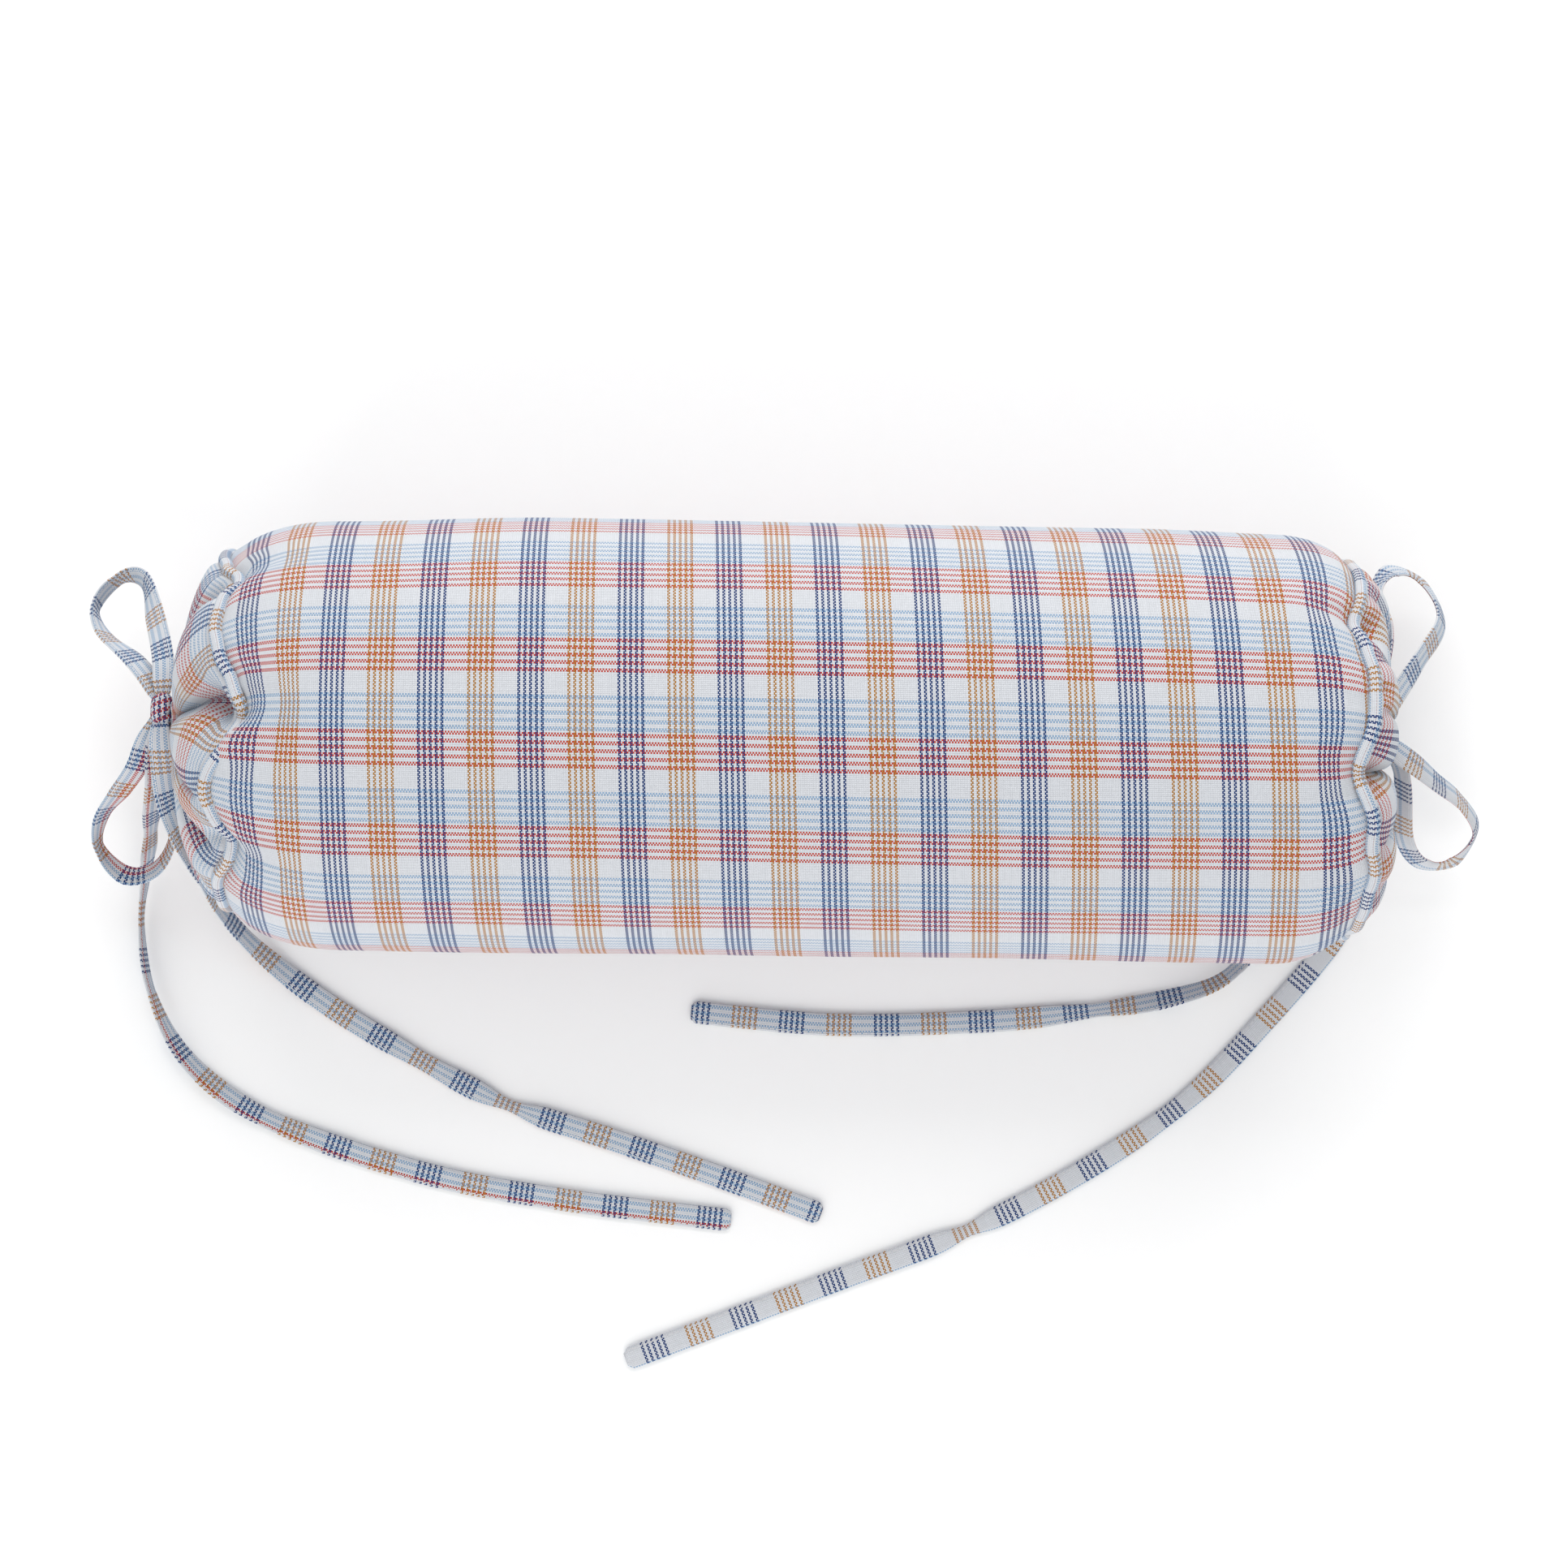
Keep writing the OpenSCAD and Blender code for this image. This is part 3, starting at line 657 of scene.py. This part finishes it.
# How far into the plaid the strip starts, along the seam's top and across it
end_starts = {-1: (16.4 * MM, -18.6 * MM), 1: (7 * MM, -1.6 * MM)}
for side, word in SIDE_NAME.items():
    face = end_face(side, **end_facts[side])
    face_cloth = end_cloth(side, face, *end_starts[side])
    points, cloth = wall(face, face_cloth, side * 0.6 * MM, coarse=2)
    piece = woven_mesh(word + "_gathered_end", points, cloth, close_rows=True)
    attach(piece, "pillow")
    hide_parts("cover_end_" + word)
    print(piece.name, len(piece.data.polygons), "reaches out to", np.abs(face[..., 0]).max())

# %% [markdown]
# ## Casings and the ribbon inside them
# The edge of each gathered end is turned back and sewn into a tunnel. The ribbon runs round in
# it, and both its strands come out through the mouth to the knot. Pulled tight, the tunnel's
# inner face bunches up about the ribbon and all but shuts the mouth.

# %% Make the casings
HUB = {-1: 227.0 * MM, 1: 213.5 * MM}


def drawn_shut(angle):
    """The opening left in the mouth: a rounded slot about the ribbon, where a fourth power of
    the height over 2.3 mm and of the width over its reach to each side add up to one."""
    reach = np.where(np.cos(angle) > 0, 10.6, 2.9)
    return ((np.abs(np.sin(angle)) / 2.3) ** 4 + (np.abs(np.cos(angle)) / reach) ** 4) ** -0.25 * MM


def casing(side):
    """The tunnel's section is an open loop of points: radius, distance from the hub, and how far
    the gathers there are drawn in towards the slot. It is turned round the mouth and ruffled in
    step with the folds."""
    outline = np.array([
        (14.9, -5.6, 0), (14.9, -9.5, 0), (14.2, -11, 0), (12.8, -11.2, 0), (11.6, -10.4, 0.15),
        (11.3, -9.2, 0.6), (11.2, -8.0, 1), (11.2, -6.4, 1), (11.2, -4.6, 0.62), (11.5, -2.4, 0.2),
        (11.8, -0.7, 0), (12.6, 0.2, 0), (13.9, 0.2, 0), (14.8, -0.8, 0), (14.9, -2.5, 0),
        (14.9, -5.2, 0)])
    place = np.linspace(0, len(outline) - 1, 56)
    count = np.arange(len(outline))
    radius, out, drawn = (np.interp(place, count, outline[:, k])[:, None] for k in (0, 1, 2))
    radius, out = radius * MM, out * MM
    phase = fold_phase(side, fine_turn[None])
    uneven = ripple(fine_turn[None] * 12, place[:, None] * 0.4, 61 + side)
    ruffle = 0.55 * MM * np.cos(phase) + 0.3 * MM * uneven
    lip = np.clip((out + 6 * MM) / (6 * MM), 0, 1)
    r = radius + (drawn_shut(fine_turn)[None] - radius) * drawn - 0.5 * ruffle * lip
    bunched = 0.9 * MM * np.cos(2 * phase + 0.6) * drawn * (1 - lip)
    x = side * (HUB[side] + out + (ruffle + 0.4 * MM) * lip + bunched)
    face = grid(x, r * np.cos(fine_turn), RIM_Z + r * np.sin(fine_turn))
    along = np.linspace(-STRIP_LONG / 2, STRIP_LONG / 2, FINE + 1)[None] + end_starts[side][0]
    across = lengths(np.stack([radius[:, 0] - 8 * MM * drawn[:, 0], out[:, 0]], 1))[:, None]
    return wall(face, grid(along, across + 40 * MM), -side * 0.55 * MM)


for side, word in SIDE_NAME.items():
    piece = woven_mesh(word + "_casing", *casing(side), close_rows=True)
    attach(piece, "pillow")
    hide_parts("casing_" + word)
    print(piece.name, len(piece.data.polygons))

# %% Make the ribbon's hidden runs: round the casing, and out to the knot
LOOP_R = 13.05 * MM
RISE = 0.9 * MM


def plain_band(name, place, width_way, body, nodes):
    """A band whose width keeps one direction."""
    ahead = unit(np.gradient(place, axis=0))
    wide = np.broadcast_to(np.array(width_way, float), place.shape)
    piece = band(name, place, wide, np.cross(wide, ahead), 0.0, 0.0235, soften=0)
    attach(piece, body)
    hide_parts(*nodes)
    return piece


for side, word in SIDE_NAME.items():
    centre = side * (HUB[side] - 5.65 * MM)
    gap_angle = np.arcsin(RISE / LOOP_R)
    swing = np.linspace(gap_angle, 2 * np.pi - gap_angle, 120)
    ring = np.stack([0 * swing + centre, LOOP_R * np.cos(swing), RIM_Z + LOOP_R * np.sin(swing)], 1)
    tab = np.linspace(8.7 * MM, LOOP_R, 8)[:-1]
    tabs = [np.stack([0 * tab + centre, tab, 0 * tab + RIM_Z + rise], 1) for rise in (RISE, -RISE)]
    round_trip = np.concatenate([tabs[0], ring, tabs[1][::-1]])
    inside = plain_band(word + "_ribbon_in_casing", round_trip, (1, 0, 0),
                        "pillow", ["gather_loop_" + word])
    strands = []
    for rise, label in ((RISE, "upper"), (-RISE, "lower")):
        x = np.linspace(HUB[side] - 17.2 * MM, HUB[side] + 4.4 * MM, 12) * side
        line = np.stack([x, 0 * x + 4 * MM, 0 * x + RIM_Z + rise], 1)
        strands.append(plain_band(word + "_strand_" + label, line, (0, 1, 0),
                                  word + "_tie", ["neck_" + word]))
    print(inside.name, [s.name for s in strands])

# %% [markdown]
# ## Knots
# The bow's knot is one turn of ribbon pulled tight over the others. It reads as a small barrel
# with the band's edges standing up and creases where it is pulled in.

# %% Make the knots
def knot(middle):
    """Radius 4.4 mm across and 5.4 mm up, times a rounded profile along the barrel, creased by
    two slanting grooves."""
    s = np.sin(np.linspace(-0.48 * np.pi, 0.48 * np.pi, 40))[:, None]
    a = np.linspace(0, 2 * np.pi, 64, endpoint=False)[None]
    round_off = (1 - np.abs(s) ** 3.2) ** (1 / 2.6)
    groove = np.exp(-((np.sin(a + 1.3 * s) * 3 + 2 * s - 0.4) / 0.35) ** 2)
    second = np.exp(-((np.cos(a - 1.1 * s) * 2.4 - 1.6 * s) / 0.30) ** 2)
    r = MM * round_off * (1.0 + 0.05 * np.sin(2 * a + 0.6) - 0.17 * groove - 0.12 * second)
    y = 5.8 * MM * s * (1 + 0.05 * np.sin(a)) + 0.5 * MM * np.sin(a + 0.4)
    points = middle + grid(4.4 * r * np.cos(a), y, 5.4 * r * np.sin(a))
    around = np.r_[a[0], 2 * np.pi][None] * 4 * MM - 2 * MM
    return points, grid(around, 5.5 * MM * s + 6 * MM + 0.25 * around)


for side, word in SIDE_NAME.items():
    piece = woven_mesh(word + "_knot", *knot(KNOT[word]), caps=True)
    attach(piece, word + "_tie")
    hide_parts("knot_" + word)
    print(piece.name, len(piece.data.polygons))

# %% [markdown]
# ## Inner cushion
# Inside is a plain cotton bag of fibre. Nothing of it shows while the mouths are tied, so it is
# a simple closed form a little smaller than the cover.

# %% Make the ticking and its filling
def inner(name, inset, seam, end_r, dome, rows):
    """The lying section in the middle, rounding in to a circle, then a shallow dome whose
    radius shrinks as cos w while it stands out by sin w, and a small cap that closes it."""
    w = np.linspace(0.495 * np.pi, 0, 14)[:-1]
    stations = np.linspace(0, 1, rows)
    face = roll_face((-seam, seam), (42 * MM, 42 * MM), (end_r, end_r), inset, stations, False)
    y, z = ringed(turn[None], (np.cos(w) * end_r)[:, None])
    left = grid(-(seam + dome[0] * np.sin(w))[:, None], y, z)
    right = grid((seam + dome[1] * np.sin(w))[:, None], y, z)[::-1]
    points = np.concatenate([left, face, right])[:, ::3]
    angle = np.r_[turn, turn[0] + 2 * np.pi][::3]
    cloth = grid(lengths(points[:, 0])[:, None], angle[None] * 78 * MM)
    piece = woven_mesh(name, points, cloth, caps=True)
    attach(piece, "pillow")
    return piece


ticking = inner("inner_cushion_ticking", 2.6 * MM, 186 * MM, 61 * MM, (9 * MM, 3 * MM), 60)
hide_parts("tick_tube", "tick_end_left", "tick_end_right")
filling = inner("fibre_filling", 4.4 * MM, 184.5 * MM, 59 * MM, (8 * MM, 2 * MM), 40)
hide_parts("filling")
print(ticking.name, filling.name)

# %% [markdown]
# ## Shader arithmetic
# A plaid is counting: which thread is this, and does it lie on top here? Written as Python
# sums, that is easy to read, so a small class turns each sum into a Math node.

# %% A socket that can be calculated with
def sum_of(operation, reflected=False):
    """A method that adds one Math node, with its two values swapped if it is reflected."""
    def method(self, other):
        return self.math(operation, *((other, self) if reflected else (self, other)))
    return method


class Wire:
    """An output socket. Sums, products and comparisons with it add Math nodes."""

    def __init__(self, recipe, socket):
        self.recipe, self.socket = recipe, socket

    def math(self, operation, *values):
        return self.recipe.add("ShaderNodeMath", {"operation": operation}, dict(enumerate(values)))

    def __abs__(self):
        return self.math("ABSOLUTE", self)

    def floor(self):
        return self.math("FLOOR", self)

    __add__, __radd__ = sum_of("ADD"), sum_of("ADD", True)
    __sub__, __rsub__ = sum_of("SUBTRACT"), sum_of("SUBTRACT", True)
    __mul__, __rmul__ = sum_of("MULTIPLY"), sum_of("MULTIPLY", True)
    __truediv__, __mod__, __pow__ = sum_of("DIVIDE"), sum_of("FLOORED_MODULO"), sum_of("POWER")
    __lt__, __gt__ = sum_of("LESS_THAN"), sum_of("GREATER_THAN")


class Recipe:
    """The node tree of one material."""

    def __init__(self, name):
        self.material = bpy.data.materials.new(name)
        self.material.use_nodes = True
        self.nodes, self.links = self.material.node_tree.nodes, self.material.node_tree.links
        self.nodes.clear()

    def add(self, kind, settings=None, inputs=None, output=0):
        """Adds a node: its settings first, then its sockets' numbers or links."""
        node = self.nodes.new(kind)
        for key, value in (settings or {}).items():
            setattr(node, key, value)
        for key, value in (inputs or {}).items():
            if isinstance(value, Wire):
                self.links.new(value.socket, node.inputs[key])
            else:
                node.inputs[key].default_value = value
        return Wire(self, node.outputs[output])

    def mix(self, share, a, b, blend="MIX"):
        """Colour a where share is 0 and b where it is 1."""
        return self.add("ShaderNodeMix", {"data_type": "RGBA", "blend_type": blend},
                        {0: share, 6: a, 7: b}, 2)

    def cloth(self):
        """Metres along and across the cloth, from the piece's own UV map."""
        uv = self.add("ShaderNodeUVMap", {"uv_map": "cloth"})
        split = self.add("ShaderNodeSeparateXYZ", None, {0: uv}).socket.node
        return Wire(self, split.outputs[0]), Wire(self, split.outputs[1])

    def finish(self, colour, roughness, height, bump_mm, sheen):
        """The cloth shader itself, its bump, and the material's output."""
        bump = self.add("ShaderNodeBump", None, {
            "Strength": 1.0, "Distance": bump_mm * MM, "Height": height})
        shader = self.add("ShaderNodeBsdfPrincipled", None, {
            "Base Color": colour, "Roughness": roughness, "Normal": bump,
            "Specular IOR Level": 0.25, "Sheen Weight": sheen, "Sheen Roughness": 0.5})
        output = self.nodes.new("ShaderNodeOutputMaterial")
        self.links.new(shader.socket, output.inputs["Surface"])
        return self.material


def dress(material, *names):
    """Gives the material to every piece named."""
    for name in names:
        bpy.data.objects[name].data.materials.append(material)


print("made", Wire.__name__, "and", Recipe.__name__)

# %% [markdown]
# ## Plaid cotton
# The cloth is a plain weave: each thread goes over one and under the next. 68 warp threads
# make one repeat, with a navy and an ochre group of five paired lines. 49 weft threads make the
# other, with a red and a pale blue group. Because only every other crossing shows, a pair of
# coloured threads reads as a zigzag line, as on the real cloth. The coloured yarns are plumper
# than the white ones, so their floats spread over the neighbours, the warp's more than the weft's.

# %% Threads and their colours
WARP_COUNT, WEFT_COUNT = 68, 49
WARP_PITCH, WEFT_PITCH = 35.73 * MM / WARP_COUNT, 34.6 * MM / WEFT_COUNT
STITCH, STITCH_PITCH = 1.8 * MM, 2.5 * MM
STITCH_LINE = 0.74  # share of the ribbon's width
WHITE = (0.69, 0.71, 0.75, 1)
WHITE_WEFT = (0.68, 0.70, 0.745, 1)
NAVY = (0.004, 0.035, 0.160, 1)
OCHRE = (0.42, 0.195, 0.034, 1)
RED = (0.49, 0.036, 0.016, 1)
PALE_BLUE = (0.25, 0.39, 0.57, 1)


def plaid(name, shift=(0.0, 0.0), sheen=0.12, stitched=False):
    """The whole finish, for cloth whose UVs are metres along the weft and along the warp. A
    ribbon is also stitched near one edge."""
    r = Recipe(name)
    along, across = r.cloth()
    a, b = along / WARP_PITCH + shift[0], across / WEFT_PITCH + shift[1]
    i, j = a.floor(), b.floor()
    warp, weft = i % WARP_COUNT, j % WEFT_COUNT
    navy = (warp < 18) * ((warp % 4) < 2)
    ochre = (warp > 33) * (warp < 52) * (((warp + 2) % 4) < 2)
    red = (weft < 18) * ((weft % 4) < 2)
    pale = (weft > 29) * (weft < 48) * (((weft + 2) % 4) < 2)
    warp_colour = r.mix(ochre, r.mix(navy, WHITE, NAVY), OCHRE)
    weft_colour = r.mix(pale, r.mix(red, WHITE_WEFT, RED), PALE_BLUE)
    # u and v are 0 on the middle of a thread and 1 at its edge or at the end of its float.
    u, v = abs((a - i) * 2 - 1), abs((b - j) * 2 - 1)
    odd = (i + j) % 2
    weft_on_top = (odd * (v < 0.96 - 0.46 * navy - 0.36 * ochre)
                   + (1 - odd) * (u > 1.01 - 0.21 * (red + pale)))
    colour = r.mix(weft_on_top, warp_colour, weft_colour)
    over_warp = (1 - u * u) * (1 - 0.55 * v * v * v * v * (1 - odd))
    over_weft = (1 - v * v) * (1 - 0.55 * u * u * u * u)
    height = over_warp * (1 - weft_on_top) + over_weft * weft_on_top
    # Threads differ a little in thickness and dye.
    warp_tone, weft_tone = (
        r.add("ShaderNodeTexWhiteNoise", {"noise_dimensions": "1D"}, {"W": number})
        for number in (i + 0.5, j + 1000.5))
    tone_and_shade = 0.93 + 0.05 * (warp_tone * (1 - weft_on_top) + weft_tone * weft_on_top)
    stretched = r.add("ShaderNodeCombineXYZ", None, {0: a * 0.35, 1: b * 0.35})
    slub = r.add("ShaderNodeTexNoise", {"noise_dimensions": "2D"}, {
        "Vector": stretched, "Scale": 1.0, "Detail": 2.0})
    # Painted shade: each thread is darkened towards its edges and the ends of its float, and most
    # in the gaps between threads, by a factor of its height.
    tone_and_shade = (tone_and_shade + 0.10 * (slub - 0.5)) * (0.66 + 0.38 * height ** 0.7)
    shade = r.add("ShaderNodeCombineXYZ", None, {0: tone_and_shade, 1: tone_and_shade, 2: tone_and_shade})
    colour = r.mix(1.0, colour, shade, "MULTIPLY")
    if stitched:
        edge = r.add("ShaderNodeAttribute", {"attribute_name": "edge"}, None, 2)
        stitch = (abs(edge - STITCH_LINE) < 0.04) * ((along % STITCH_PITCH) < STITCH)
        colour = r.mix(stitch, colour, (0.70, 0.70, 0.72, 1))
        height = height + 1.5 * stitch - 0.8 * (abs(edge - STITCH_LINE) < 0.09)
    return r.finish(colour, 0.86 - 0.05 * height, height, 0.10, sheen)


plaid_cotton = plaid("plaid_cotton", shift=(-22.4, 0.4))
plaid_piping = plaid("plaid_piping")
plaid_end = plaid("plaid_end")
plaid_ribbon = plaid("plaid_ribbon", stitched=True)
dress(plaid_cotton, roll.name)
dress(plaid_ribbon, *(piece.name for piece in ribbons.values()))
for word in SIDE_NAME.values():
    dress(plaid_end, word + "_gathered_end", word + "_casing")
    dress(plaid_piping, word + "_piping")
    dress(plaid_ribbon, word + "_knot", word + "_ribbon_in_casing",
          word + "_strand_upper", word + "_strand_lower")
print("colours of thread", len({WHITE, WHITE_WEFT, NAVY, OCHRE, RED, PALE_BLUE}))

# %% [markdown]
# ## Undyed cotton, cotton cord and fibre
# The hidden pieces have plain finishes: a close white weave, a twisted cord and loose fibre.

# %% Finishes inside
def plain_cotton():
    """A close undyed weave: the same over and under, finer and in one colour."""
    r = Recipe("ticking_cotton")
    thread = 0.42 * MM
    a, b = (way / thread for way in r.cloth())
    top = (a.floor() + b.floor()) % 2
    u, v = abs((a % 1) * 2 - 1), abs((b % 1) * 2 - 1)
    height = (1 - u * u) * (1 - top) + (1 - v * v) * top
    # Painted shade: the colour is darker where the height is low, at the edges of the threads and
    # in the gaps between them.
    colour = r.mix(height, (0.60, 0.58, 0.53, 1), (0.80, 0.78, 0.73, 1))
    return r.finish(colour, 0.9 - 0.05 * height, height, 0.08, 0.1)


def twisted_cord():
    """Slanting ridges: a sine of the length plus the way round."""
    r = Recipe("piping_cord_cotton")
    along, across = r.cloth()
    turns = (along / (2.6 * MM) + across / (3.77 * MM)) % 1
    height = 1 - (turns * 2 - 1) ** 2
    # Painted shade: the colour is darker in the grooves between the ridges, where the height is
    # low.
    colour = r.mix(height, (0.52, 0.48, 0.40, 1), (0.80, 0.77, 0.70, 1))
    return r.finish(colour, 0.92 - 0.04 * height, height, 0.3, 0.1)


def loose_fibre():
    """Soft tufts from noise on the object's own coordinates."""
    r = Recipe("polyester_fibre")
    place = r.add("ShaderNodeTexCoord", None, None, 3)
    tuft = r.add("ShaderNodeTexNoise", None, {"Vector": place, "Scale": 180.0, "Detail": 6.0})
    # Painted shade: the colour is darker where the noise that gives the bump's height is low, in
    # the hollows between tufts.
    colour = r.mix(tuft, (0.70, 0.70, 0.70, 1), (0.93, 0.93, 0.93, 1))
    return r.finish(colour, 0.95 - 0.1 * tuft, tuft, 2.0, 0.3)


dress(plain_cotton(), ticking.name)
dress(loose_fibre(), filling.name)
dress(twisted_cord(), "left_piping_core", "right_piping_core")
print("materials", [material.name for material in bpy.data.materials])

# %% [markdown]
# ## Floor and light
# A plain pale floor, an even white surround, and two large soft lights. The stronger one is on
# the +Y side, which leaves the near side of the roll a little cooler and darker.

# %% Floor, surround and lights
FAR = 30  # metres, so that the floor's edge is out of sight from low down too
floor_mesh = bpy.data.meshes.new("floor")
floor_mesh.from_pydata(
    [(-FAR, -FAR, 0), (FAR, -FAR, 0), (FAR, FAR, 0), (-FAR, FAR, 0)], [], [(0, 1, 2, 3)])
floor = bpy.data.objects.new("floor", floor_mesh)
bpy.context.collection.objects.link(floor)
pale = Recipe("pale_floor")
where = pale.add("ShaderNodeTexCoord", None, None, 3)
paper = pale.add("ShaderNodeTexNoise", None, {"Vector": where, "Scale": 300.0, "Detail": 2.0})
shades = pale.mix(paper, (0.955, 0.955, 0.955, 1), (0.965, 0.965, 0.965, 1))
floor_mesh.materials.append(pale.finish(shades, 0.9 - 0.02 * paper, paper, 0.02, 0.0))

world = bpy.data.worlds.new("surround")
world.use_nodes = True
glow = world.node_tree.nodes["Background"].inputs
glow["Color"].default_value, glow["Strength"].default_value = (0.97, 0.985, 1.0, 1), 0.70
bpy.context.scene.world = world

for name, place, size, power in (("window", (0.1, 1.5, 1.0), 1.8, 26),
                                 ("fill", (-0.3, -1.5, 0.8), 1.8, 19)):
    light = bpy.data.lights.new(name, "AREA")
    light.size, light.energy, light.color = size, power, (1.0, 0.985, 0.96)
    lamp = bpy.data.objects.new(name, light)
    lamp.location = place
    away = np.array(place) - np.array([0, 0, 0.05])
    lean, heading = np.arctan2(np.hypot(*away[:2]), away[2]), np.arctan2(away[1], away[0])
    lamp.rotation_euler = (lean, 0, heading + np.pi / 2)
    bpy.context.collection.objects.link(lamp)
bpy.context.scene.view_settings.view_transform = "Standard"
print("floor and lights placed")
